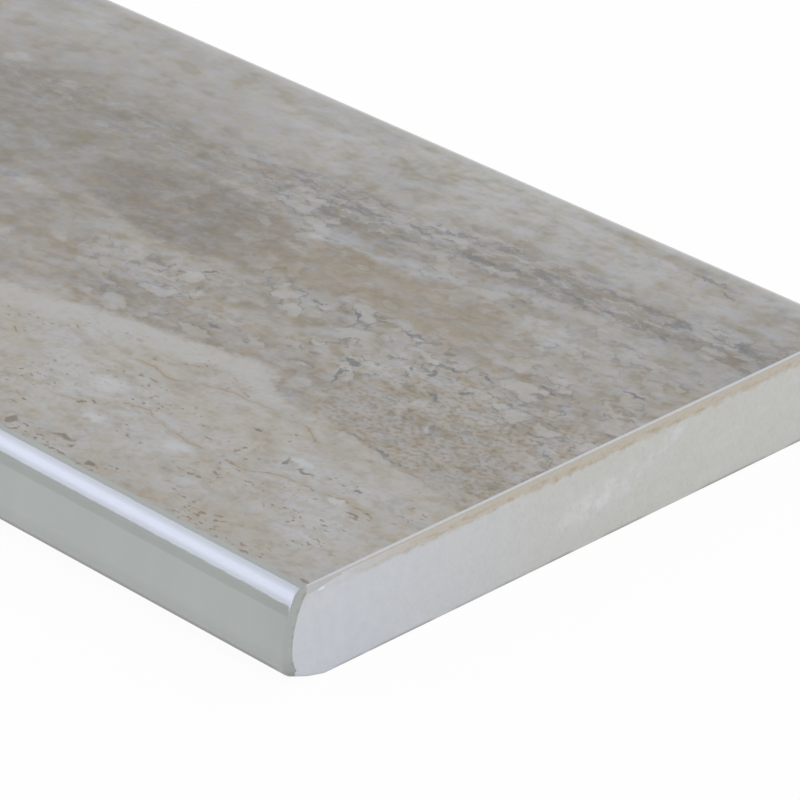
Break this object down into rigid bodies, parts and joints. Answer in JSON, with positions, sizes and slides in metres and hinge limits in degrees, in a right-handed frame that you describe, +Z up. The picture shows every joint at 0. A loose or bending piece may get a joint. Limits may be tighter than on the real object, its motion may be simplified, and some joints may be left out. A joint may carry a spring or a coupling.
{
  "type": "bullnose tile",
  "caption": "Long, narrow glazed porcelain trim tile with one long edge rounded to a glazed bullnose, a travertine-look printed face and a keyed back.",
  "frame": {"origin": "centre of the bed, which is the underside that the mortar holds", "axes": "+X along the tile's length, +Y towards the straight edge that butts against the field tile, so the rounded nose faces -Y, and +Z up out of the printed face"},
  "size_m": [0.4572, 0.0762, 0.01],
  "materials": {
    "glazed_porcelain": "satin printed glaze on the face, glossy grey-green glaze on the nose, bare off-white body elsewhere"
  },
  "bodies": {
    "root": {"bullnose_tile": "glazed_porcelain"}
  },
  "joints": []
}
